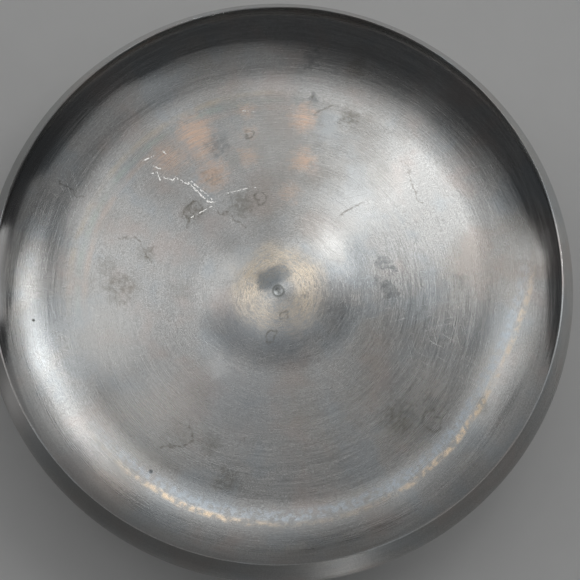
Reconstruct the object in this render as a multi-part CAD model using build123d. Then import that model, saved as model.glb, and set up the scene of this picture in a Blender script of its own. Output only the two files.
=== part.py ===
from build123d import *
import math
import os

# Saucepan lid of stainless steel, lying inside-up on its knob.
# +Z is up, through the open side of the lid. The origin is the centre of the
# knob's flat end, which the lid stands on. Every piece is turned about Z,
# apart from the hexagon of the nut and the split of the spring washer.
# All sizes are in millimetres.

os.makedirs("parts", exist_ok=True)

# Lid pressing
SHEET = 0.6                 # sheet thickness
EDGE_R = 98.0               # inner radius of the cut edge of the skirt
SHOULDER_R = 104.1          # outer radius of the shoulder, the widest place
SHOULDER_DROP = 12.4        # the widest place lies this far below the cut edge
KNUCKLE_R = 7.5             # inner radius of the rounded shoulder
COVE_R = 36.0               # inner radius of the wide cove between panel and knuckle
COVE_TURN = math.radians(45)    # below level, where the cove runs into the knuckle
PANEL_CROWN = 2.0           # the panel stands this much higher inside at its centre
SEAT_R = 14.5               # flat seat for the knob, at the centre
SEAT_FLANK_R = 31.0         # radius where the seat's soft flank meets the panel
SEAT_HEIGHT = 0.75          # the seat is pressed in by this much
DIMPLE_R = 1.7              # small dimple that the stud's weld leaves inside
DIMPLE_DEPTH = 0.25
EDGE_ROUND = 0.12           # the cut edge is only just broken

# Knob
KNOB_HEIGHT = 25.0
KNOB_END_R = 16.5           # flat end that the lid lies on
KNOB_GRIP_R = 20.0          # widest part of the grip
KNOB_GRIP_Z = 6.0
KNOB_NECK_R = 9.5
KNOB_NECK_Z = 18.0
KNOB_FOOT_R = 12.0          # foot of the knob, against the heat guard
KNOB_FOOT_THICKNESS = 1.6
BOLT_HOLE_R = 2.8
POCKET_R = 6.5              # pocket that the nut sits in
POCKET_TOP_Z = 11.0
INLAY_R = 12.5              # rebate for the inlaid cap
INLAY_DEPTH = 1.2

# Knob cap
CAP_THICKNESS = 0.8
CAP_RECESS = 0.4            # the cap's face lies this far inside the knob's end
SPIGOT_DEPTH = 2.2
SPIGOT_WALL = 0.8
CAP_BEVEL = 0.15

# Heat guard between knob and lid
GUARD_SHEET = 0.5
GUARD_HEIGHT = 3.0
GUARD_RIM_R = 14.0
GUARD_RIM_WIDTH = 1.6
GUARD_FLAT_R = 10.0

# Fastening
STUD_R = 2.5
STUD_LENGTH = 25.0          # overall, with its flange
STUD_FLANGE_R = 3.5
STUD_FLANGE_THICKNESS = 0.8
STUD_TIP_CHAMFER = 0.5
NUT_ACROSS_FLATS = 8.0
NUT_HEIGHT = 4.0
NUT_CHAMFER = 0.5
WASHER_R = 5.0
WASHER_THICKNESS = 1.0
SPRING_WASHER_R = 4.4
SPRING_WASHER_THICKNESS = 1.2
SPRING_WASHER_GAP = 0.9     # width of the split
SPRING_WASHER_SLANT = 25.0  # lean of the split, in degrees
WASHER_HOLE_R = 2.65

# Heights that follow from the sizes above
guard_bottom_z = KNOB_HEIGHT
seat_outer_z = KNOB_HEIGHT + GUARD_HEIGHT
seat_inner_z = seat_outer_z + SHEET
panel_apex_z = seat_inner_z - SEAT_HEIGHT

# Centres of the arcs that the lid's inner face is made of. Each arc runs
# tangent into the next: panel, cove, knuckle, then the straight skirt.
knuckle_centre_r = SHOULDER_R - SHEET - KNUCKLE_R
cove_centre_r = knuckle_centre_r - (COVE_R - KNUCKLE_R) * math.cos(COVE_TURN)
panel_to_cove = (cove_centre_r ** 2 + PANEL_CROWN ** 2) / (2 * PANEL_CROWN)
panel_sphere_r = panel_to_cove - COVE_R
panel_sphere_z = panel_apex_z - panel_sphere_r
panel_end_angle = math.asin(cove_centre_r / panel_to_cove)
cove_centre_z = panel_sphere_z + panel_to_cove * math.cos(panel_end_angle)
knuckle_centre_z = cove_centre_z - (COVE_R - KNUCKLE_R) * math.sin(COVE_TURN)
edge_z = knuckle_centre_z + SHOULDER_DROP


def skirt_lean():
    """Angle of the straight skirt from vertical, in radians."""
    across = EDGE_R - knuckle_centre_r
    span = math.hypot(SHOULDER_DROP, across)
    return math.asin(KNUCKLE_R / span) - math.atan2(across, SHOULDER_DROP)


def turned(outline):
    """Solid turned about Z from the closed outline drawn in the XZ plane."""
    return revolve(Plane.XZ * outline, Axis.Z)


def outline_of(*points):
    """Closed straight-sided outline through (radius, height) points."""
    return make_face(Polyline(*points, close=True))


def lid_surface(depth):
    """Outline of the lid's face, as edges, at a depth below the inner face.

    It runs from the axis along the seat, the flank, the panel, the cove and
    the knuckle to the cut edge of the skirt.
    """
    lean = skirt_lean()
    flank_angle = SEAT_FLANK_R / panel_sphere_r

    def on_panel(angle):
        reach = panel_sphere_r - depth
        return (reach * math.sin(angle), panel_sphere_z + reach * math.cos(angle))

    def on_cove(angle):
        reach = COVE_R + depth
        return (cove_centre_r + reach * math.cos(angle), cove_centre_z + reach * math.sin(angle))

    def on_knuckle(angle):
        reach = KNUCKLE_R + depth
        return (knuckle_centre_r + reach * math.cos(angle), knuckle_centre_z + reach * math.sin(angle))

    cove_start = -math.pi / 2 - panel_end_angle
    cove_end = -COVE_TURN
    seat_end = (SEAT_R, seat_inner_z - depth)
    flank_end = on_panel(flank_angle)
    skirt_foot = on_knuckle(lean)
    edge = (EDGE_R + depth * math.cos(lean), edge_z + depth * math.sin(lean))
    seat = Line((0, seat_inner_z - depth), seat_end)
    flank = Spline(seat_end, flank_end, tangents=[(1, 0), (math.cos(flank_angle), -math.sin(flank_angle))])
    panel = ThreePointArc(flank_end, on_panel((flank_angle + panel_end_angle) / 2), on_panel(panel_end_angle))
    cove = ThreePointArc(on_cove(cove_start), on_cove((cove_start + cove_end) / 2), on_cove(cove_end))
    knuckle = ThreePointArc(on_knuckle(cove_end), on_knuckle((cove_end + lean) / 2), skirt_foot)
    skirt = Line(skirt_foot, edge)
    return [seat, flank, panel, cove, knuckle, skirt]


def make_lid_shell():
    """Pressed lid with its panel, cove, rounded shoulder and inward-leaning skirt."""
    inner = lid_surface(0)
    outer = lid_surface(SHEET)
    axis_side = Line(inner[0] @ 0, outer[0] @ 0)
    cut_edge = Line(inner[-1] @ 1, outer[-1] @ 1)
    section = make_face(Curve() + [*inner, *outer, axis_side, cut_edge])
    shell = turned(section)
    rim = shell.edges().sort_by(Axis.Z)[-2:]
    shell = fillet(rim, EDGE_ROUND)
    dimple_reach = (DIMPLE_R ** 2 + DIMPLE_DEPTH ** 2) / (2 * DIMPLE_DEPTH)
    dimple_z = seat_inner_z - DIMPLE_DEPTH + dimple_reach
    return shell - Pos(0, 0, dimple_z) * Sphere(dimple_reach)


def make_weld_stud():
    """Threaded stud, capacitor-welded to the lid by its small flange."""
    flange_z = seat_outer_z - STUD_FLANGE_THICKNESS
    shaft_end_z = seat_outer_z - STUD_LENGTH
    flange = Pos(0, 0, flange_z) * Cylinder(
        STUD_FLANGE_R, STUD_FLANGE_THICKNESS, align=(Align.CENTER, Align.CENTER, Align.MIN))
    shaft = Pos(0, 0, shaft_end_z) * Cylinder(
        STUD_R, flange_z - shaft_end_z, align=(Align.CENTER, Align.CENTER, Align.MIN))
    tip = shaft.edges().sort_by(Axis.Z)[0]
    return flange + chamfer(tip, STUD_TIP_CHAMFER)


def make_heat_guard():
    """Thin pressed cup that keeps the knob's foot off the hot lid."""
    low = guard_bottom_z
    high = seat_outer_z
    flat_inner = GUARD_RIM_R - GUARD_RIM_WIDTH
    return turned(outline_of(
        (WASHER_HOLE_R, low),
        (GUARD_FLAT_R, low),
        (flat_inner + GUARD_SHEET, high - GUARD_SHEET),
        (GUARD_RIM_R, high - GUARD_SHEET),
        (GUARD_RIM_R, high),
        (flat_inner, high),
        (GUARD_FLAT_R - GUARD_SHEET, low + GUARD_SHEET),
        (WASHER_HOLE_R, low + GUARD_SHEET)))


def make_knob():
    """Moulded phenolic knob with a waist for the fingers and a nut pocket."""
    foot_z = KNOB_HEIGHT - KNOB_FOOT_THICKNESS
    grip = (KNOB_GRIP_R, KNOB_GRIP_Z)
    neck = (KNOB_NECK_R, KNOB_NECK_Z)
    foot = (KNOB_FOOT_R, foot_z)
    waist = Spline(
        (KNOB_END_R, 0), grip, neck, foot,
        tangents=[(1, 0.25), (0, 1), (0, 1), (1, 0.2)], tangent_scalars=[0.8, 1.0, 0.8, 0.8])
    outline = Curve() + [
        waist,
        Polyline(foot, (KNOB_FOOT_R, KNOB_HEIGHT), (0, KNOB_HEIGHT), (0, 0), (KNOB_END_R, 0))]
    body = turned(make_face(outline))
    bottom_up = (Align.CENTER, Align.CENTER, Align.MIN)
    inlay = Cylinder(INLAY_R, INLAY_DEPTH, align=bottom_up)
    pocket = Cylinder(POCKET_R, POCKET_TOP_Z, align=bottom_up)
    bolt_hole = Cylinder(BOLT_HOLE_R, KNOB_HEIGHT, align=bottom_up)
    return body - inlay - pocket - bolt_hole


def washer_bottom_z():
    return POCKET_TOP_Z - WASHER_THICKNESS


def spring_washer_bottom_z():
    return washer_bottom_z() - SPRING_WASHER_THICKNESS


def nut_bottom_z():
    return spring_washer_bottom_z() - NUT_HEIGHT


def ring(outer_r, inner_r, low, high):
    """Plain ring between two heights."""
    return turned(outline_of((inner_r, low), (outer_r, low), (outer_r, high), (inner_r, high)))


def make_flat_washer():
    return ring(WASHER_R, WASHER_HOLE_R, washer_bottom_z(), POCKET_TOP_Z)


def make_spring_washer():
    """Spring washer pressed flat, with its slanted split."""
    low = spring_washer_bottom_z()
    body = ring(SPRING_WASHER_R, WASHER_HOLE_R, low, washer_bottom_z())
    middle = Pos(SPRING_WASHER_R, 0, low + SPRING_WASHER_THICKNESS / 2)
    split = middle * Rot(X=SPRING_WASHER_SLANT) * Box(
        SPRING_WASHER_R, SPRING_WASHER_GAP, 4 * SPRING_WASHER_THICKNESS)
    return body - split


def make_hex_nut():
    """Hexagon nut, chamfered on both faces, bored to the stud's size."""
    low = nut_bottom_z()
    corner_r = NUT_ACROSS_FLATS / math.sqrt(3)
    blank = Pos(0, 0, low) * extrude(RegularPolygon(corner_r, 6), NUT_HEIGHT)
    cone = turned(outline_of(
        (STUD_R, low),
        (corner_r - NUT_CHAMFER, low),
        (corner_r, low + NUT_CHAMFER),
        (corner_r, low + NUT_HEIGHT - NUT_CHAMFER),
        (corner_r - NUT_CHAMFER, low + NUT_HEIGHT),
        (STUD_R, low + NUT_HEIGHT)))
    return blank & cone


def make_knob_cap():
    """Plain stainless disc let into the knob's end, held by a short spigot."""
    face = CAP_RECESS
    back = CAP_RECESS + CAP_THICKNESS
    return turned(outline_of(
        (0, face),
        (INLAY_R - CAP_BEVEL, face),
        (INLAY_R, face + CAP_BEVEL),
        (INLAY_R, back),
        (POCKET_R, back),
        (POCKET_R, back + SPIGOT_DEPTH),
        (POCKET_R - SPIGOT_WALL, back + SPIGOT_DEPTH),
        (POCKET_R - SPIGOT_WALL, back),
        (0, back)))


pieces = {
    "lid_shell": make_lid_shell(),
    "weld_stud": make_weld_stud(),
    "heat_guard": make_heat_guard(),
    "knob": make_knob(),
    "flat_washer": make_flat_washer(),
    "spring_washer": make_spring_washer(),
    "hex_nut": make_hex_nut(),
    "knob_cap": make_knob_cap(),
}

for name, piece in pieces.items():
    export_step(piece, f"parts/{name}.step")
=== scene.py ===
"""Saucepan lid of stainless steel, lying inside-up on its knob.

Everything is in metres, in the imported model's frame: +Z is up through the
lid's open side and the origin is the centre of the knob's flat end.
"""

import math

import bpy
from mathutils import Matrix, Vector, noise


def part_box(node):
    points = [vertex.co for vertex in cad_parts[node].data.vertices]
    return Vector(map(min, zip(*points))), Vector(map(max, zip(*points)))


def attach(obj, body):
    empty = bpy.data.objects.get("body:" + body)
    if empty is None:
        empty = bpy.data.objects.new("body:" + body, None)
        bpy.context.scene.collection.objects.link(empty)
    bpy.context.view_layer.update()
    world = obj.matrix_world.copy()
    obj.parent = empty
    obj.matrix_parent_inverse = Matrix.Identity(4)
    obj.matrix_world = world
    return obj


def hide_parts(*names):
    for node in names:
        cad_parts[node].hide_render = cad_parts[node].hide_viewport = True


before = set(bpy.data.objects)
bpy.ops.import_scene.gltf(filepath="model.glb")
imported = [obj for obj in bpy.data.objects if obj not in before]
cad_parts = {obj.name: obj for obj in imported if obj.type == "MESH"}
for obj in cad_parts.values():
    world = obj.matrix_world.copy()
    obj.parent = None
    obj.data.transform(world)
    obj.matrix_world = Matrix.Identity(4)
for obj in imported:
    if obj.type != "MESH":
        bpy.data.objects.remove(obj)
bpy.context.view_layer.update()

MM = 0.001

# ---------------------------------------------------------------- lid sizes
# The lid's height comes from the heat guard that carries it. The rest repeats
# the lid's driving dimensions: panel, cove, knuckle and skirt run tangent into
# one another.
guard_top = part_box("heat_guard")[1].z

SHEET = 0.6 * MM
EDGE_R = 98.0 * MM
EDGE_CORNER = 0.08 * MM
SHOULDER_R = 104.1 * MM
SHOULDER_DROP = 12.4 * MM
KNUCKLE_R = 7.5 * MM
COVE_R = 36.0 * MM
COVE_TURN = math.radians(45)
PANEL_CROWN = 2.0 * MM
SEAT_R = 14.5 * MM
SEAT_FLANK_R = 31.0 * MM
SEAT_HEIGHT = 0.75 * MM
DIMPLE_R = 1.7 * MM
DIMPLE_DEPTH = 0.10 * MM

seat_z = guard_top + SHEET
panel_z = seat_z - SEAT_HEIGHT
knuckle_r = SHOULDER_R - SHEET - KNUCKLE_R
cove_r = knuckle_r - (COVE_R - KNUCKLE_R) * math.cos(COVE_TURN)
panel_to_cove = (cove_r ** 2 + PANEL_CROWN ** 2) / (2 * PANEL_CROWN)
panel_sphere_r = panel_to_cove - COVE_R
panel_sphere_z = panel_z - panel_sphere_r
panel_end_angle = math.asin(cove_r / panel_to_cove)
cove_z = panel_sphere_z + panel_to_cove * math.cos(panel_end_angle)
knuckle_z = cove_z - (COVE_R - KNUCKLE_R) * math.sin(COVE_TURN)
edge_z = knuckle_z + SHOULDER_DROP
skirt_reach = math.hypot(SHOULDER_DROP, EDGE_R - knuckle_r)
skirt_lean = math.asin(KNUCKLE_R / skirt_reach) - math.atan2(EDGE_R - knuckle_r, SHOULDER_DROP)

# Gentle waves of the sheet: where they rise and die out, and the length and
# height of the broad ones and the fine ones.
WAVES_RISE = (SEAT_R, 34 * MM)
WAVES_DIE = (94 * MM, 101 * MM)
BROAD_WAVE = 42 * MM
BROAD_WAVE_HEIGHT = 0.11 * MM
FINE_WAVE = 19 * MM
FINE_WAVE_HEIGHT = 0.035 * MM
FINE_WAVE_SHIFT = 7 * MM


# ------------------------------------------------------------------- camera
# Place and aim are counted in radii of the cut edge, from the edge's centre.
CAMERA_PLACE = Vector((0, -1.146, 5.322))
CAMERA_AIM = Vector((0.0414, -0.0510, 0))
CAMERA_ROLL = math.radians(2.24)
CAMERA_LENS_MM = 96.2
CAMERA_SENSOR_MM = 36.0


def add_camera():
    """Camera above the near side, turned a little about its own axis."""
    rim_r = EDGE_R + SHEET / 2
    rim_centre = Vector((0, 0, edge_z))
    place = rim_centre + rim_r * CAMERA_PLACE
    aim = rim_centre + rim_r * CAMERA_AIM
    data = bpy.data.cameras.new("camera")
    data.lens = CAMERA_LENS_MM
    data.sensor_width = CAMERA_SENSOR_MM
    data.clip_start = 0.01
    camera = bpy.data.objects.new("camera", data)
    look = (aim - place).to_track_quat("-Z", "Y").to_matrix() @ Matrix.Rotation(CAMERA_ROLL, 3, "Z")
    camera.matrix_world = Matrix.Translation(place) @ look.to_4x4()
    bpy.context.scene.collection.objects.link(camera)
    bpy.context.scene.camera = camera


# ------------------------------------------------------------- mesh helpers
ON_AXIS = 1e-7


def smoothstep(low, high, value):
    """0 below low, 1 above high, and a smooth step between."""
    t = min(max((value - low) / (high - low), 0.0), 1.0)
    return t * t * (3 - 2 * t)


def arc(centre_r, centre_z, radius, start, end, steps):
    """Points of an arc in the (radius, height) plane, ends included."""
    angles = [start + (end - start) * i / steps for i in range(steps + 1)]
    return [(centre_r + radius * math.cos(a), centre_z + radius * math.sin(a)) for a in angles]


def lathe(name, outline, segments, warp, skins):
    """Mesh turned about Z from an outline of (radius, height) points.

    A point on the axis becomes one pole vertex. warp gives what is added to the
    height at a place. skins gives the material index of each stretch of the outline.
    """
    vertices = []
    rows = []
    for radius, height in outline:
        if radius < ON_AXIS:
            rows.append([len(vertices)])
            vertices.append((0, 0, height + warp(0, 0)))
            continue
        row = []
        for i in range(segments):
            turn = 2 * math.pi * i / segments
            x, y = radius * math.cos(turn), radius * math.sin(turn)
            row.append(len(vertices))
            vertices.append((x, y, height + warp(x, y)))
        rows.append(row)
    faces = []
    face_skins = []
    for first, second, skin in zip(rows, rows[1:], skins):
        for i in range(segments):
            j = (i + 1) % segments
            if len(first) == 1:
                face = (first[0], second[j], second[i])
            elif len(second) == 1:
                face = (first[i], first[j], second[0])
            else:
                face = (first[i], first[j], second[j], second[i])
            faces.append(face)
            face_skins.append(skin)
    mesh = bpy.data.meshes.new(name)
    mesh.from_pydata(vertices, [], faces)
    mesh.polygons.foreach_set("use_smooth", [True] * len(faces))
    mesh.polygons.foreach_set("material_index", face_skins)
    mesh.update()
    piece = bpy.data.objects.new(name, mesh)
    bpy.context.scene.collection.objects.link(piece)
    return piece


# ---------------------------------------------------------------- lid shape
# Steps of the mesh. Those of the seat crowd towards the weld mark, and those of
# the skirt lie at these shares of its length from the edge.
ROUND_STEPS = 384
SEAT_STEPS_INSIDE = 40
SEAT_STEPS_OUTSIDE = 8
SEAT_CROWDING = 1.5
FLANK_STEPS = 16
PANEL_STEPS = 40
COVE_STEPS = 40
KNUCKLE_STEPS = 30
CORNER_STEPS = 4
SKIRT_SHARES = (0.8, 0.6, 0.4, 0.2, 0.06)
INSIDE_SKIN, OUTSIDE_SKIN, EDGE_SKIN = 0, 1, 2


def panel_height(r, depth):
    """Height of the panel at a radius, on the face this deep in the sheet."""
    return panel_sphere_z + math.sqrt((panel_sphere_r - depth) ** 2 - r ** 2)


def weld_mark(r):
    """Height of the mark that the stud's weld leaves: a pit with a low lip."""
    pit = -DIMPLE_DEPTH * (1 - smoothstep(0.2 * DIMPLE_R, 0.9 * DIMPLE_R, r))
    lip = 0.35 * DIMPLE_DEPTH * smoothstep(0.8 * DIMPLE_R, 1.1 * DIMPLE_R, r)
    return pit + lip * (1 - smoothstep(1.1 * DIMPLE_R, 1.7 * DIMPLE_R, r))


def lid_face(depth):
    """(radius, height) points of the face this deep in the sheet, from the axis to the skirt."""
    seat_height = seat_z - depth
    points = []
    seat_steps = SEAT_STEPS_INSIDE if depth == 0 else SEAT_STEPS_OUTSIDE
    for i in range(seat_steps):
        r = SEAT_R * (i / seat_steps) ** SEAT_CROWDING
        points.append((r, seat_height + (weld_mark(r) if depth == 0 else 0)))
    for i in range(FLANK_STEPS):
        share = i / FLANK_STEPS
        r = SEAT_R + (SEAT_FLANK_R - SEAT_R) * share
        step = smoothstep(0, 1, share)
        points.append((r, seat_height * (1 - step) + panel_height(r, depth) * step))
    panel_end_r = (panel_sphere_r - depth) * math.sin(panel_end_angle)
    for i in range(PANEL_STEPS):
        r = SEAT_FLANK_R + (panel_end_r - SEAT_FLANK_R) * i / PANEL_STEPS
        points.append((r, panel_height(r, depth)))
    cove_start = -math.pi / 2 - panel_end_angle
    cove = arc(cove_r, cove_z, COVE_R + depth, cove_start, -COVE_TURN, COVE_STEPS)
    knuckle = arc(knuckle_r, knuckle_z, KNUCKLE_R + depth, -COVE_TURN, skirt_lean, KNUCKLE_STEPS)
    return points + cove[:-1] + knuckle


def lid_warp(x, y):
    """Gentle waves of the sheet: none at the knob's seat and the shoulder, faint ones at the edge."""
    r = math.hypot(x, y)
    fade = smoothstep(*WAVES_RISE, r) * (1 - smoothstep(*WAVES_DIE, r))
    broad = noise.noise(Vector((x, y, 0)) / BROAD_WAVE)
    fine = noise.noise(Vector((x, y, FINE_WAVE_SHIFT)) / FINE_WAVE)
    return fade * (BROAD_WAVE_HEIGHT * broad + FINE_WAVE_HEIGHT * fine)


def make_lid():
    """The pressed lid: inner face, cut edge with broken corners, outer face."""
    inner = lid_face(0)
    outer = lid_face(SHEET)
    along = Vector((-math.sin(skirt_lean), math.cos(skirt_lean)))
    across = Vector((math.cos(skirt_lean), math.sin(skirt_lean)))
    foot = Vector(inner[-1])
    edge = Vector((EDGE_R, edge_z))
    skirt = (edge - foot).length
    distances = [skirt * share for share in SKIRT_SHARES] + [2.5 * EDGE_CORNER]

    def on_skirt(distance_from_edge, depth):
        point = edge - along * distance_from_edge + across * depth
        return (point.x, point.y)

    def rounding(depth_centre, start_angle):
        """Quarter circle at a corner of the cut edge, from inside to outside."""
        points = []
        for i in range(CORNER_STEPS + 1):
            a = start_angle - math.pi / 2 * i / CORNER_STEPS
            point = edge - along * EDGE_CORNER + across * depth_centre
            point = point + EDGE_CORNER * (math.cos(a) * across + math.sin(a) * along)
            points.append((point.x, point.y))
        return points

    inner += [on_skirt(distance, 0) for distance in distances]
    outer += [on_skirt(distance, SHEET) for distance in distances]
    cut = rounding(EDGE_CORNER, math.pi) + rounding(SHEET - EDGE_CORNER, math.pi / 2)
    skins = [INSIDE_SKIN] * (len(inner) - 1)
    skins += [EDGE_SKIN] * (len(cut) + 1)
    skins += [OUTSIDE_SKIN] * (len(outer) - 1)
    return lathe("lid_pressing", inner + cut + outer[::-1], ROUND_STEPS, lid_warp, skins)


# ---------------------------------------------------------------- materials
class Paint:
    """One node material, with short ways to add nodes and links.

    place is the point of the surface, in metres, and color is the colour so far.
    """

    def __init__(self, name):
        self.material = bpy.data.materials.new(name)
        self.material.use_nodes = True
        self.tree = self.material.node_tree
        self.shader = self.tree.nodes["Principled BSDF"]
        self.place = self.node("ShaderNodeTexCoord").outputs["Object"]
        self.color = None

    def set(self, **values):
        """Set the shader's own sockets, whose names have _ for a space."""
        for key, value in values.items():
            self.shader.inputs[key.replace("_", " ")].default_value = value

    def link(self, output, socket):
        self.tree.links.new(output, self.shader.inputs[socket])

    def node(self, kind, settings=None, inputs=None):
        """New node. Each input is either linked to a socket or set to a value."""
        node = self.tree.nodes.new(kind)
        for key, value in (settings or {}).items():
            setattr(node, key, value)
        for key, value in (inputs or {}).items():
            if isinstance(value, bpy.types.NodeSocket):
                self.tree.links.new(value, node.inputs[key])
            else:
                node.inputs[key].default_value = value
        return node

    def math(self, operation, a, b=0.0):
        return self.node("ShaderNodeMath", {"operation": operation}, {0: a, 1: b}).outputs[0]

    def plus(self, a, b):
        return self.math("ADD", a, b)

    def minus(self, a, b):
        return self.math("SUBTRACT", a, b)

    def times(self, a, b):
        return self.math("MULTIPLY", a, b)

    def gap(self, value, centre):
        """How far a value is from a centre, either way."""
        return self.math("ABSOLUTE", self.minus(value, centre))

    def largest(self, values):
        total = values[0]
        for value in values[1:]:
            total = self.math("MAXIMUM", total, value)
        return total

    def vector_math(self, operation, a, b):
        return self.node("ShaderNodeVectorMath", {"operation": operation}, {0: a, 1: b})

    def vector(self, x, y, z):
        return self.node("ShaderNodeCombineXYZ", None, {0: x, 1: y, 2: z}).outputs[0]

    def polar(self):
        """Radius, and the cosine and sine of the turn about Z."""
        split = self.node("ShaderNodeSeparateXYZ", None, {0: self.place})
        x, y = split.outputs[0], split.outputs[1]
        r = self.math("SQRT", self.plus(self.times(x, x), self.times(y, y)))
        safe = self.math("MAXIMUM", r, 1e-5)
        return r, self.math("DIVIDE", x, safe), self.math("DIVIDE", y, safe)

    def noise(self, scale, detail=3.0, roughness=0.55, place=None):
        """Noise with scale waves per unit of place, which is the surface's own if none is given."""
        if place is None:
            place = self.place
        node = self.node(
            "ShaderNodeTexNoise", None,
            {"Vector": place, "Scale": scale, "Detail": detail, "Roughness": roughness})
        return node.outputs[0]

    def wander(self, scale, detail, reach):
        """Noise round zero, which spreads over about the given reach."""
        return self.times(self.minus(self.noise(scale, detail), 0.5), reach)

    def ramp(self, value, low, high, from_value=0.0, to_value=1.0):
        """Smooth step from from_value at low to to_value at high."""
        node = self.node(
            "ShaderNodeMapRange", {"interpolation_type": "SMOOTHSTEP"},
            {0: value, 1: low, 2: high, 3: from_value, 4: to_value})
        return node.outputs[0]

    def mix(self, share, a, b):
        """Colour a where share is 0, colour b where it is 1."""
        node = self.node("ShaderNodeMix", {"data_type": "RGBA"})
        for index, value in ((0, share), (6, a), (7, b)):
            if isinstance(value, bpy.types.NodeSocket):
                self.tree.links.new(value, node.inputs[index])
            else:
                node.inputs[index].default_value = (*value, 1.0)
        return node.outputs[2]

    def coat(self, share, tint):
        """Lay a tint over the colour so far, where share is above 0."""
        self.color = self.mix(share, self.color, tint)

    def bump(self, height, strength, distance):
        """Let a height tilt the normal. Returns the tilted normal."""
        node = self.node(
            "ShaderNodeBump", None, {"Strength": strength, "Distance": distance, "Height": height})
        self.link(node.outputs[0], "Normal")
        return node.outputs[0]

    def facet(self, share, normal, direction):
        """Turn the normal to a fixed direction where share is 1."""
        node = self.node("ShaderNodeMix", {"data_type": "VECTOR"})
        self.tree.links.new(share, node.inputs[0])
        self.tree.links.new(normal, node.inputs[4])
        node.inputs[5].default_value = direction
        self.link(node.outputs[1], "Normal")

    def from_point(self, place, x, y):
        """Distance from a point of the lid, given in millimetres, seen from above."""
        flat = self.vector_math("MULTIPLY", place, (1, 1, 0)).outputs[0]
        return self.vector_math("DISTANCE", flat, (x * MM, y * MM, 0)).outputs["Value"]

    def near_point(self, place, x, y, radius, softness):
        """1 within a radius of a point of the lid, given in millimetres, 0 outside."""
        far = self.from_point(place, x, y)
        return self.ramp(far, radius * (1 - softness) * MM, radius * (1 + softness) * MM, 1.0, 0.0)

    def near_line(self, place, start, end, width):
        """1 on the line between two points of the lid, in millimetres, 0 off it."""
        a = Vector((*start, 0)) * MM
        b = Vector((*end, 0)) * MM
        flat = self.vector_math("MULTIPLY", place, (1, 1, 0)).outputs[0]
        offset = self.vector_math("SUBTRACT", flat, a).outputs[0]
        step = (b - a) / (b - a).length_squared
        along = self.vector_math("DOT_PRODUCT", offset, step).outputs["Value"]
        along = self.math("MINIMUM", self.math("MAXIMUM", along, 0.0), 1.0)
        foot = self.vector(self.times(along, b.x - a.x), self.times(along, b.y - a.y), 0.0)
        far = self.vector_math("DISTANCE", offset, foot).outputs["Value"]
        return self.ramp(far, 0.4 * width * MM, width * MM, 1.0, 0.0)


# Hair scratches: waves of noise per metre along and across them, and for each
# set its direction in radians and the level of noise above which they show.
HAIR_SCALES = (45.0, 3000.0, 0.0)
INSIDE_HAIRS = ((0.5, 0.67), (1.3, 0.68), (2.2, 0.67), (2.9, 0.68))
OUTSIDE_HAIRS = ((0.9, 0.68), (2.5, 0.68))


def brushed_grooves(paint, polar, around, across):
    """Noise in streaks round the axis: around sets their length, across their width."""
    r, cosine, sine = polar
    place = paint.vector(paint.times(cosine, around), paint.times(sine, around), paint.times(r, across))
    return paint.noise(1.0, 2.0, place=place)


def wiping_scratches(paint, angle, level):
    """Straight hair scratches, all roughly in one direction, in loose patches."""
    turned = paint.node(
        "ShaderNodeVectorRotate", {"rotation_type": "Z_AXIS"}, {"Vector": paint.place, "Angle": angle})
    stretched = paint.vector_math("MULTIPLY", turned.outputs[0], HAIR_SCALES).outputs[0]
    hair = paint.ramp(paint.noise(1.0, 1.0, place=stretched), level, level + 0.05)
    patch = paint.ramp(paint.noise(55.0, 1.0, place=turned.outputs[0]), 0.42, 0.6)
    return paint.times(hair, patch)


# ------------------------------------------------------- inside of the lid
# Marks on the inside, with places from the axis and sizes in millimetres:
# (x, y, radius, strength) of stains, of patches of painted light and painted
# shade, of pits and of the bright stretches of the golden line of painted
# highlight, (x, y, radius) of the rings of dried drops, both ends of each
# stretch of a scratch, both ends and the width of the painted dark reflection
# beside the centre, and radius and colour of the bands of painted rainbow sheen.
BROWN_STAINS = (
    (-57, 1.5, 5.5, 0.50), (-62, 9, 3.6, 0.30), (-48, 14, 2.6, 0.45), (-13, 33, 4.8, 0.50),
    (-31, 30, 4.0, 0.45), (-36, 0, 3.4, 0.22), (26, 66, 3.0, 0.50), (29, 85, 3.0, 0.35),
    (43, -46, 5.5, 0.45), (73, -41, 2.6, 0.60), (-18, -68, 4.0, 0.40), (-24, -55, 3.2, 0.35),
    (-36, -51, 5.0, 0.35), (-24, 43, 3.4, 0.40), (38, 46, 2.4, 0.22))
GREY_STAINS = (
    (38, 11, 2.6, 0.55), (41, 9, 2.0, 0.50), (39.5, 0.7, 3.0, 0.62), (42, -1, 1.8, 0.50),
    (36, 3.5, 1.5, 0.40), (66, 5, 2.4, 0.30), (-22, 55, 4.2, 0.50), (12, 88, 3.2, 0.42),
    (13, 74, 1.8, 0.50), (1.5, -9, 1.8, 0.35), (10, -1, 1.6, 0.55), (55, -40, 2.4, 0.30))
# Painted shade: darker patches below and round the centre and on the floor.
PAINTED_SHADE_PATCHES = (
    (-12, -15, 9.0, 0.55), (1, -16, 9.0, 0.62), (-21, -13, 6.0, 0.30), (20, 0, 7.0, 0.35),
    (-14, -38, 14.0, 0.35), (-70, -60, 6.0, 0.30))
WARM_PATCHES = (
    (-31, 60, 5.5, 0.85), (-28, 54, 4.0, 0.60), (-24, 44, 4.5, 0.70), (9, 66, 4.0, 0.90),
    (9, 50, 3.6, 0.75), (4, 37, 3.0, 0.35), (-11, 51, 3.0, 0.60), (-12, 69, 2.6, 0.50),
    (-40, 50, 5.0, 0.50), (-11, 60, 2.2, 0.50))
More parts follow.
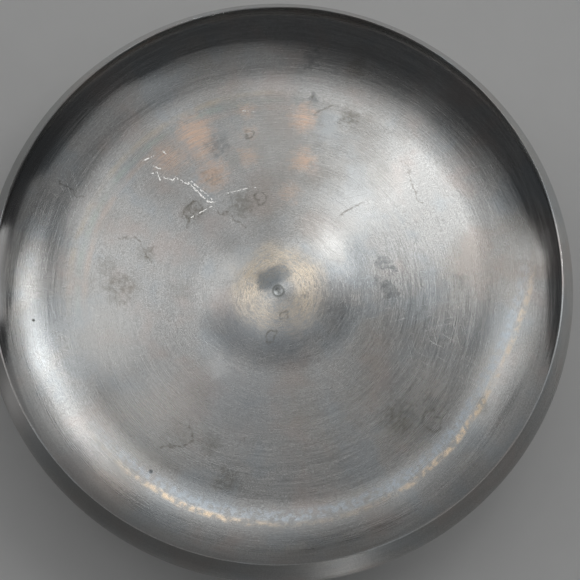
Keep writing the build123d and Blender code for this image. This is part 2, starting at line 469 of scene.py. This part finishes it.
# Painted light: pale patches that brighten the floor where its highlights and lit slopes fall.
PAINTED_LIGHT_SPOTS = (
    (-22, -28, 3.6, 0.35), (19, 21, 7.0, 0.55), (36, 42, 12.0, 0.30), (64, -24, 15.0, 0.38),
    (-62, -20, 14.0, 0.34), (-48, -45, 15.0, 0.40), (26, 31, 10.0, 0.42), (-14, 10, 5.0, 0.40),
    (-5, 60, 14.0, 0.30), (-80, 32, 7.0, 0.40), (93, 16, 6.0, 0.40), (55, 72, 7.0, 0.35))
DROP_RINGS = (
    (55, -47, 3.9), (-31, 30, 2.8), (-6.5, 35, 2.3), (2.3, -9, 1.5), (-2.5, -16.7, 1.8), (-10.6, 60, 1.6))
# Scratches painted near-white as glints.
GLINTING_SCRATCHES = (
    ((-33.1, 41.0), (-25.8, 33.7)), ((-32.0, 41.3), (-24.3, 34.4)), ((-25.8, 33.7), (-23.2, 33.3)),
    ((-46.5, 44.5), (-44.6, 44.9)), ((-44.6, 44.9), (-43.5, 41.9)), ((-42.4, 43.0), (-38.7, 41.8)),
    ((-38.7, 41.8), (-37.9, 42.9)), ((-37.9, 42.9), (-33.1, 40.2)), ((-46.1, 47.1), (-43.5, 46.3)),
    ((-50.2, 49.4), (-46.0, 51.2)), ((-42.7, 53.0), (-41.5, 52.3)), ((-24.3, 31.8), (-31.6, 27.7)),
    ((-18.4, 36.8), (-11.5, 38.6)), ((-8.6, 39.0), (-7.1, 39.0)), ((-13.1, 68.8), (-9.0, 68.4)))
DARK_SCRATCHES = (
    ((48, 45.5), (50.5, 40)), ((50.5, 40), (52.5, 33)), ((23, 29), (31, 33)), ((13.5, 67.5), (19, 70.5)),
    ((-22, 30), (-15, 27.5)), ((-15, 27.5), (-12, 23.5)), ((-80, 41), (-71, 36)), ((-58, 20), (-50, 18)),
    ((-50, 18), (-46, 10.5)), ((-31, -46.5), (-31.5, -55.5)), ((-31.5, -55.5), (-40, -55)),
    ((-32, 33), (-33, 24)), ((12, 72), (14, 76)))
PITS = ((-88, -11, 0.5, 0.9), (-45, -65, 0.7, 0.9))
# Bright stretches of the golden line, which is a painted highlight.
HIGHLIGHT_LINE_BRIGHT = ((-30, -78, 24.0, 1.0), (64, -57, 26.0, 1.0), (90, -8, 20.0, 0.7))
# Painted dark reflection beside the weld mark.
CENTRE_DARK_REFLECTION = ((-5.0, 3.8), (1.5, 7.2), 5.0)
# Painted rainbow sheen: coloured bands that the brushing throws off in the light.
RAINBOW_SHEEN_BANDS = ((70, (0.86, 0.62, 0.48)), (73, (0.55, 0.70, 0.62)), (76, (0.80, 0.66, 0.46)))

# The brushed floor, and the smoother cove, which the brushing enters on the near side.
FLOOR_ANISO = 0.85
FLOOR_ROUGH = 0.24
COVE_ROUGH = 0.14
COVE_FROM = 93 * MM
COVE_TO = 95.5 * MM
NEAR_BRUSHING = 8.0 * MM

# How far noise moves stains, dark scratches and the scratches painted bright as
# glints, and the way that glints face: halfway between the camera's place and
# the key light.
RAGGED = 4.0 * MM
SWAY = 7.0 * MM
JITTER = 1.2 * MM
SCRATCH_FACET = (0.215, 0.085, 0.973)

# Radii of the heat tint round the weld, the ring of painted shade in front and
# the golden line of painted highlight, which runs further out at the sides.
SEAT_RING_R = 10.5 * MM
FRONT_SHADE_R = 84.5 * MM
HIGHLIGHT_LINE_R = 83.6 * MM
HIGHLIGHT_LINE_FLARE = 11.0 * MM


def spots(paint, place, table, softness):
    """Largest strength of the round marks of a table."""
    return paint.largest([
        paint.times(paint.near_point(place, x, y, radius, softness), strength)
        for x, y, radius, strength in table])


def ragged_place(paint):
    """The place moved by fine noise, every way, for stains with torn outlines."""
    fine = paint.node("ShaderNodeTexNoise", None, {"Vector": paint.place, "Scale": 420.0, "Detail": 5.0})
    move = paint.node(
        "ShaderNodeVectorMath", {"operation": "SCALE"}, {0: fine.outputs[1], "Scale": 2 * RAGGED})
    moved = paint.vector_math("ADD", paint.place, move.outputs[0]).outputs[0]
    return paint.vector_math("SUBTRACT", moved, (RAGGED, RAGGED, RAGGED)).outputs[0]


def swung_place(paint, scale, detail, reach):
    """The place moved to and fro along a diagonal, for lines that aren't straight."""
    move = paint.wander(scale, detail, reach)
    return paint.vector_math("ADD", paint.place, paint.vector(move, move, 0.0)).outputs[0]


def bare_steel(paint, grooves):
    """Grooves, grain, a drift of hue and a brownish haze. Returns the haze."""
    tone = paint.ramp(grooves, 0.3, 0.7)
    paint.color = paint.mix(tone, (0.46, 0.465, 0.46), (0.62, 0.62, 0.61))
    grain = paint.noise(2300.0, 2.0)
    paint.coat(paint.ramp(grain, 0.52, 0.66, 0.0, 0.42), (0.28, 0.27, 0.25))
    paint.coat(paint.ramp(grain, 0.48, 0.34, 0.0, 0.40), (0.84, 0.84, 0.82))
    hue = paint.noise(48.0, 3.0)
    paint.coat(paint.ramp(hue, 0.50, 0.66, 0.0, 0.30), (0.64, 0.52, 0.47))
    paint.coat(paint.ramp(hue, 0.48, 0.34, 0.0, 0.30), (0.46, 0.54, 0.60))
    haze = paint.ramp(paint.noise(26.0, 5.0, 0.6), 0.45, 0.72, 0.0, 0.35)
    paint.coat(haze, (0.43, 0.39, 0.34))
    return haze


def stains_and_painted_light(paint, ragged, mottled, striped):
    """Warm tints, brown and grey stains, and pale patches of painted light."""
    paint.coat(paint.times(spots(paint, ragged, WARM_PATCHES, 0.9), striped), (1.0, 0.70, 0.52))
    paint.coat(paint.times(spots(paint, ragged, BROWN_STAINS, 0.6), mottled), (0.15, 0.135, 0.095))
    paint.coat(paint.times(spots(paint, ragged, GREY_STAINS, 0.4), mottled), (0.16, 0.18, 0.19))
    # Painted light: pale patches over the floor's highlights and lit slopes.
    paint.coat(spots(paint, ragged, PAINTED_LIGHT_SPOTS, 0.8), (0.92, 0.92, 0.90))


def centre_marks(paint, r, ragged, swayed, striped):
    """Heat tint round the weld, patches of painted shade, a painted dark reflection beside the centre and
    the weld mark. Returns the tint.
    """
    ring = paint.gap(paint.plus(r, paint.wander(160.0, 5.0, 9.0 * MM)), SEAT_RING_R)
    tint = paint.times(paint.ramp(ring, 0.5 * MM, 9.5 * MM, 0.80, 0.0), striped)
    paint.coat(tint, (1.0, 0.86, 0.68))
    # Painted shade: darker patches below and round the centre.
    paint.coat(spots(paint, ragged, PAINTED_SHADE_PATCHES, 0.8), (0.30, 0.33, 0.36))
    # Painted dark reflection beside the weld mark.
    paint.coat(paint.times(paint.near_line(swayed, *CENTRE_DARK_REFLECTION), 0.62), (0.20, 0.24, 0.27))
    weld_lip = paint.gap(r, 1.15 * DIMPLE_R)
    paint.coat(paint.ramp(weld_lip, 0.1 * MM, 0.6 * MM, 0.6, 0.0), (0.16, 0.17, 0.15))
    paint.coat(paint.ramp(r, 0.3 * DIMPLE_R, 0.9 * DIMPLE_R, 0.6, 0.0), (0.25, 0.26, 0.24))
    return tint


def drops_and_pits(paint, swayed, mottled):
    """Thin dark outlines of dried drops, and black pits."""
    rings = []
    for x, y, radius in DROP_RINGS:
        off_ring = paint.gap(paint.from_point(swayed, x, y), radius * MM)
        rings.append(paint.ramp(off_ring, 0.1 * MM, 0.6 * MM, 1.0, 0.0))
    paint.coat(paint.times(paint.largest(rings), paint.times(mottled, 0.6)), (0.20, 0.19, 0.16))
    paint.coat(spots(paint, paint.place, PITS, 0.4), (0.05, 0.05, 0.045))


def dark_scratches(paint, swayed, mottled):
    """Dark scratches, broken by the mottling."""
    lines = paint.largest([paint.near_line(swayed, a, b, 0.50) for a, b in DARK_SCRATCHES])
    paint.coat(paint.times(paint.times(lines, mottled), 0.55), (0.20, 0.18, 0.15))


def front_painted_shade(paint, r, sine):
    """Painted shade: a darker ring along the foot of the cove in front."""
    ring = paint.ramp(paint.gap(r, FRONT_SHADE_R), 1 * MM, 7 * MM, 0.42, 0.0)
    # Painted shade along the foot of the front cove.
    paint.coat(paint.times(ring, paint.ramp(sine, -0.30, -0.75)), (0.33, 0.34, 0.34))


def highlight_line(paint, r, sine, width, offset):
    """1 on a thin line of painted highlight that runs round at the foot of the cove, further out at the
    sides.
    """
    flare = paint.ramp(sine, -0.45, 0.30, 0.0, HIGHLIGHT_LINE_FLARE)
    wobble = paint.wander(60.0, 3.0, 3.0 * MM)
    line = paint.plus(HIGHLIGHT_LINE_R + offset, paint.plus(flare, wobble))
    return paint.ramp(paint.gap(r, line), 0.2 * width, width, 1.0, 0.0)


def painted_highlight_lines(paint, r, cosine, sine):
    """Painted highlight: a broken golden line with a bluish one inside it, in front and at the right.
    Returns both.
    """
    sides = paint.times(paint.ramp(sine, 0.30, -0.2), paint.ramp(cosine, -0.90, -0.55))
    strong = paint.math("MAXIMUM", spots(paint, paint.place, HIGHLIGHT_LINE_BRIGHT, 0.9), 0.22)
    broken = paint.ramp(paint.noise(420.0, 3.0), 0.38, 0.62, 0.1, 1.0)
    gold = paint.times(highlight_line(paint, r, sine, 1.7 * MM, 0.0), sides)
    gold = paint.times(paint.times(gold, broken), strong)
    blue = paint.times(highlight_line(paint, r, sine, 3.2 * MM, -3.0 * MM), sides)
    blue = paint.times(blue, broken)
    # Painted highlight: the golden line and the bluish line inside it.
    paint.coat(paint.times(gold, 0.85), (1.0, 0.80, 0.58))
    paint.coat(paint.times(blue, 0.35), (0.72, 0.84, 0.96))
    return gold, blue


def painted_rainbow_sheen(paint, r, cosine, sine):
    """Painted rainbow sheen: faint coloured bands of light off the brushing at the far left."""
    patchy = paint.ramp(paint.noise(120.0, 3.0), 0.35, 0.65, 0.15, 0.75)
    far_left = paint.ramp(paint.minus(sine, cosine), 0.7, 1.3)
    for radius, tint in RAINBOW_SHEEN_BANDS:
        band = paint.ramp(paint.gap(r, radius * MM), 0.2 * MM, 1.8 * MM, 0.35, 0.0)
        paint.coat(paint.times(paint.times(band, far_left), patchy), tint)


def painted_scratch_glints(paint):
    """Real scratches painted near-white as glints, broken here and there. Returns where they are."""
    jittered = swung_place(paint, 900.0, 1.0, JITTER)
    lines = paint.largest([paint.near_line(jittered, a, b, 0.30) for a, b in GLINTING_SCRATCHES])
    lines = paint.times(lines, paint.ramp(paint.noise(900.0, 2.0), 0.40, 0.50))
    # Painted glints: near-white along the scratches.
    paint.coat(paint.times(lines, 0.95), (1.0, 0.99, 0.96))
    return lines


def near_wall_painted_shade(paint, r, cosine, sine):
    """Painted shade high on the near wall and along the edge at the left. Returns the near wall."""
    near_wall = paint.times(paint.ramp(sine, 0.0, -0.6), paint.ramp(r, 91 * MM, 98 * MM))
    near = paint.times(near_wall, paint.ramp(cosine, 0.5, -0.5, 0.30, 0.62))
    left = paint.times(paint.ramp(cosine, -0.6, -0.9), paint.ramp(r, 96.5 * MM, 99 * MM, 0.0, 0.8))
    # Painted shade: darker high on the near wall and along the left edge.
    paint.coat(paint.math("MAXIMUM", near, left), (0.24, 0.24, 0.24))
    return near_wall


def lid_inside_material():
    """Circular-brushed steel under coats of stains, scratches and tints, and of painted light, shade,
    highlights and reflections.
    """
    paint = Paint("lid_inside_steel")
    paint.set(Metallic=1.0, Anisotropic=FLOOR_ANISO, Anisotropic_Rotation=0.25, IOR=1.6)
    polar = paint.polar()
    r, cosine, sine = polar
    fine = brushed_grooves(paint, polar, 7.0, 2600.0)
    coarse = brushed_grooves(paint, polar, 2.5, 1200.0)
    grooves = paint.plus(paint.times(fine, 0.65), paint.times(coarse, 0.35))
    hairs = paint.largest([wiping_scratches(paint, *direction) for direction in INSIDE_HAIRS])
    ragged = ragged_place(paint)
    swayed = swung_place(paint, 170.0, 3.0, SWAY)
    mottled = paint.ramp(paint.noise(650.0, 4.0, 0.65), 0.36, 0.60, 0.25, 1.0)
    striped = paint.ramp(grooves, 0.36, 0.58, 0.25, 1.0)

    haze = bare_steel(paint, grooves)
    # Stains, and pale patches of painted light.
    stains_and_painted_light(paint, ragged, mottled, striped)
    seat_tint = centre_marks(paint, r, ragged, swayed, striped)
    drops_and_pits(paint, swayed, mottled)
    dark_scratches(paint, swayed, mottled)
    paint.coat(paint.times(hairs, 0.25), (0.85, 0.85, 0.83))
    # Painted shade in front, a painted golden highlight line, painted rainbow sheen, scratches painted
    # bright as glints, and painted shade on the near wall.
    front_painted_shade(paint, r, sine)
    gold, blue = painted_highlight_lines(paint, r, cosine, sine)
    painted_rainbow_sheen(paint, r, cosine, sine)
    scratch_glint_lines = painted_scratch_glints(paint)
    near_wall = near_wall_painted_shade(paint, r, cosine, sine)
    paint.link(paint.color, "Base Color")

    brushed_r = paint.minus(r, paint.ramp(sine, 0.10, -0.50, 0.0, NEAR_BRUSHING))
    rough = paint.ramp(brushed_r, COVE_FROM, COVE_TO, FLOOR_ROUGH, COVE_ROUGH)
    rough = paint.plus(rough, paint.times(near_wall, 0.20))
    rough = paint.plus(rough, paint.times(paint.minus(grooves, 0.5), 0.25))
    rough = paint.plus(rough, paint.times(scratch_glint_lines, 0.15))
    rough = paint.plus(rough, paint.times(haze, 0.15))
    paint.link(rough, "Roughness")

    tangent = paint.node("ShaderNodeTangent", {"direction_type": "RADIAL", "axis": "Z"})
    paint.link(tangent.outputs[0], "Tangent")
    relief = paint.plus(grooves, paint.times(hairs, -0.4))
    floor_only = paint.ramp(r, 88 * MM, 93 * MM, 1.0, 0.25)
    normal = paint.bump(paint.times(relief, floor_only), 0.3, 0.05 * MM)
    glints = paint.largest([
        paint.times(scratch_glint_lines, 0.9), paint.times(gold, 0.13),
        paint.times(blue, 0.06), paint.times(seat_tint, 0.12)])
    paint.facet(glints, normal, SCRATCH_FACET)
    return paint.material


# ---------------------------------------------------------- other materials
def lid_outside_material():
    """Polished steel, painted darker as a painted dark reflection, smeared and finely scratched."""
    paint = Paint("lid_outside_steel")
    paint.set(Metallic=1.0, IOR=1.6)
    fine = brushed_grooves(paint, paint.polar(), 5.0, 1500.0)
    smear = paint.noise(35.0, 4.0)
    hairs = paint.largest([wiping_scratches(paint, *direction) for direction in OUTSIDE_HAIRS])
    # Base colour darker than the inside's steel: painted dark reflection on the outside.
    paint.color = paint.mix(paint.ramp(fine, 0.3, 0.7), (0.36, 0.36, 0.35), (0.44, 0.44, 0.43))
    paint.coat(paint.ramp(smear, 0.5, 0.8, 0.0, 0.3), (0.46, 0.44, 0.41))
    paint.link(paint.color, "Base Color")
    rough = paint.plus(paint.ramp(smear, 0.35, 0.75, 0.08, 0.20), paint.times(hairs, 0.1))
    paint.link(rough, "Roughness")
    paint.bump(paint.minus(fine, hairs), 0.08, 0.02 * MM)
    return paint.material


def lid_edge_material():
    """Cut edge painted near-white as a painted highlight, with a trace of burr."""
    paint = Paint("lid_edge_steel")
    paint.set(Metallic=1.0, IOR=1.6)
    burr = paint.noise(900.0, 2.0)
    # Near-white colour: painted highlight along the cut edge.
    paint.link(paint.mix(burr, (0.84, 0.84, 0.82), (0.98, 0.98, 0.96)), "Base Color")
    paint.link(paint.ramp(burr, 0.3, 0.7, 0.60, 0.80), "Roughness")
    paint.bump(burr, 0.1, 0.05 * MM)
    return paint.material


def turned_metal(name, tone, rough):
    """Metal with fine turning marks round the axis and a few smears."""
    paint = Paint(name)
    paint.set(Metallic=1.0, IOR=1.6)
    fine = brushed_grooves(paint, paint.polar(), 4.0, 3000.0)
    smear = paint.noise(180.0, 4.0)
    darker = tuple(0.82 * t for t in tone)
    dull = tuple(0.62 * t for t in tone)
    paint.color = paint.mix(fine, darker, tone)
    paint.coat(paint.ramp(smear, 0.5, 0.75, 0.0, 0.5), dull)
    paint.link(paint.color, "Base Color")
    paint.link(paint.ramp(smear, 0.3, 0.7, rough * 0.8, rough * 1.4), "Roughness")
    paint.bump(fine, 0.1, 0.02 * MM)
    return paint.material


def phenolic_material():
    """Black phenolic, specked with filler and worn duller in patches."""
    paint = Paint("knob_phenolic_black")
    speck = paint.noise(450.0, 4.0)
    wear = paint.noise(60.0, 5.0)
    paint.color = paint.mix(speck, (0.012, 0.011, 0.010), (0.035, 0.032, 0.030))
    paint.coat(paint.ramp(wear, 0.5, 0.8, 0.0, 0.5), (0.06, 0.056, 0.052))
    paint.link(paint.color, "Base Color")
    paint.link(paint.ramp(wear, 0.3, 0.7, 0.20, 0.45), "Roughness")
    paint.bump(speck, 0.08, 0.1 * MM)
    return paint.material


def floor_material():
    """Pale matt floor with a faint grain."""
    paint = Paint("studio_floor_pale")
    paint.link(paint.mix(paint.noise(60.0, 3.0), (0.78, 0.78, 0.77), (0.82, 0.82, 0.81)), "Base Color")
    paint.set(Roughness=0.75)
    return paint.material


def paint_all(piece, *materials):
    piece.data.materials.clear()
    for material in materials:
        piece.data.materials.append(material)


# ------------------------------------------------------------------- studio
# Soft boxes round the lid: name, azimuth and elevation in degrees, size in
# metres and power in watts, set so that the shading follows the photograph's.
LIGHTS = (
    ("key_low", 25, 54, 0.45, 1.45),
    ("key", 50, 57, 0.40, 0.75),
    ("key_high", 65, 66, 0.40, 0.70),
    ("far_high", 96, 62, 0.50, 0.35),
    ("far_left", 122, 60, 0.50, 0.15),
    ("left_high", 146, 64, 0.50, 0.60),
    ("left_low", 160, 45, 0.60, 0.70),
    ("left_mid", 178, 62, 0.50, 0.10),
    ("top", 120, 80, 0.50, 0.45),
    ("near_top", 295, 70, 0.60, 0.25),
    ("right_near", 334, 60, 0.60, 0.30),
    ("right_mid", 0, 40, 0.50, 0.10),
    ("far_mid", 80, 35, 0.50, 0.15),
    ("far_left_mid", 125, 38, 0.50, 0.15),
    ("far_low", 110, 15, 0.50, 0.15),
    ("left_far_low", 140, 15, 0.50, 0.40),
    ("key_floor", 40, 15, 0.50, 0.50),
    ("right_low", 10, 15, 0.50, 0.75))
LIGHT_DISTANCE = 1.5

# Low fills, so low that the lid's own edge keeps them off its inside.
SIDE_AZIMUTHS = (15, 105, 195, 285)
SIDE_ELEVATION = 3.0
SIDE_DISTANCE = 1.3
SIDE_SIZE = 0.12
SIDE_POWER = 0.8

WORLD_COLOR = (0.80, 0.82, 0.85, 1)
WORLD_STRENGTH = 0.065
FLOOR_R = 3.0


def add_floor():
    bpy.ops.mesh.primitive_circle_add(vertices=96, radius=FLOOR_R, fill_type="NGON", location=(0, 0, 0))
    floor = bpy.context.active_object
    floor.name = "studio_floor"
    floor.data.materials.append(floor_material())


def add_light(name, azimuth, elevation, distance, size, power):
    """Square soft box that faces the lid. Azimuth runs from +X towards +Y."""
    turn, rise = math.radians(azimuth), math.radians(elevation)
    place = distance * Vector((
        math.cos(rise) * math.cos(turn), math.cos(rise) * math.sin(turn), math.sin(rise)))
    data = bpy.data.lights.new(name, "AREA")
    data.shape = "SQUARE"
    data.size = size
    data.energy = power
    light = bpy.data.objects.new(name, data)
    light.location = place
    light.rotation_euler = (-place).to_track_quat("-Z", "Y").to_euler()
    bpy.context.scene.collection.objects.link(light)


def add_lights():
    for name, azimuth, elevation, size, power in LIGHTS:
        add_light(name, azimuth, elevation, LIGHT_DISTANCE, size, power)
    for number, azimuth in enumerate(SIDE_AZIMUTHS, 1):
        add_light(f"side_{number}", azimuth, SIDE_ELEVATION, SIDE_DISTANCE, SIDE_SIZE, SIDE_POWER)


def add_world():
    world = bpy.data.worlds.new("studio")
    world.use_nodes = True
    background = world.node_tree.nodes["Background"]
    background.inputs[0].default_value = WORLD_COLOR
    background.inputs[1].default_value = WORLD_STRENGTH
    bpy.context.scene.world = world


# --------------------------------------------------------------------- make
add_camera()
bpy.context.scene.view_settings.view_transform = "Standard"

lid = make_lid()
paint_all(lid, lid_inside_material(), lid_outside_material(), lid_edge_material())
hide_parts("lid_shell")
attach(lid, "root")

paint_all(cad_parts["knob"], phenolic_material())
paint_all(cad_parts["heat_guard"], turned_metal("guard_polished", (0.66, 0.66, 0.65), 0.16))
paint_all(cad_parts["knob_cap"], turned_metal("cap_brushed", (0.64, 0.64, 0.63), 0.28))
paint_all(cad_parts["weld_stud"], turned_metal("stud_plain", (0.55, 0.55, 0.54), 0.30))
for part in ("flat_washer", "spring_washer", "hex_nut"):
    paint_all(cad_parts[part], turned_metal(part + "_zinc", (0.60, 0.61, 0.62), 0.32))

add_floor()
add_world()
add_lights()
